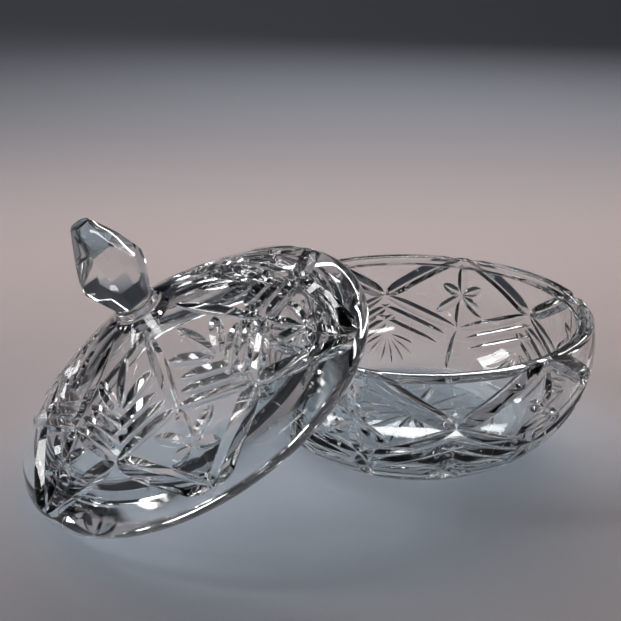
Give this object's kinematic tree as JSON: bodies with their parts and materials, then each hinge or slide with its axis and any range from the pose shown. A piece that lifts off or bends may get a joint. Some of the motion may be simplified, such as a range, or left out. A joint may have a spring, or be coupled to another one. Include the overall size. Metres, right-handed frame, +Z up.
{
  "type": "lidded candy dish",
  "caption": "Round cut crystal candy dish with a low bowl, a domed lid that seats in its rim, and a tall faceted knob to lift the lid by.",
  "frame": {"origin": "centre of the bowl's foot ring, on the table", "axes": "+Z up along the bowl's axis, out of its mouth; the camera side is -Y; the lid leans on the bowl's rim from the -X, -Y side"},
  "size_m": [0.2411, 0.1965, 0.1162],
  "materials": {
    "lead_crystal": "polished, with cut facets"
  },
  "bodies": {
    "bowl": {"bowl": "lead_crystal"},
    "lid": {"lid": "lead_crystal", "lid_knob": "lead_crystal"}
  },
  "joints": [
    {"name": "lid_lift", "type": "slide", "parent": "bowl", "child": "lid", "axis": [0, 0, 1], "range_m": [0, 0.12]}
  ]
}
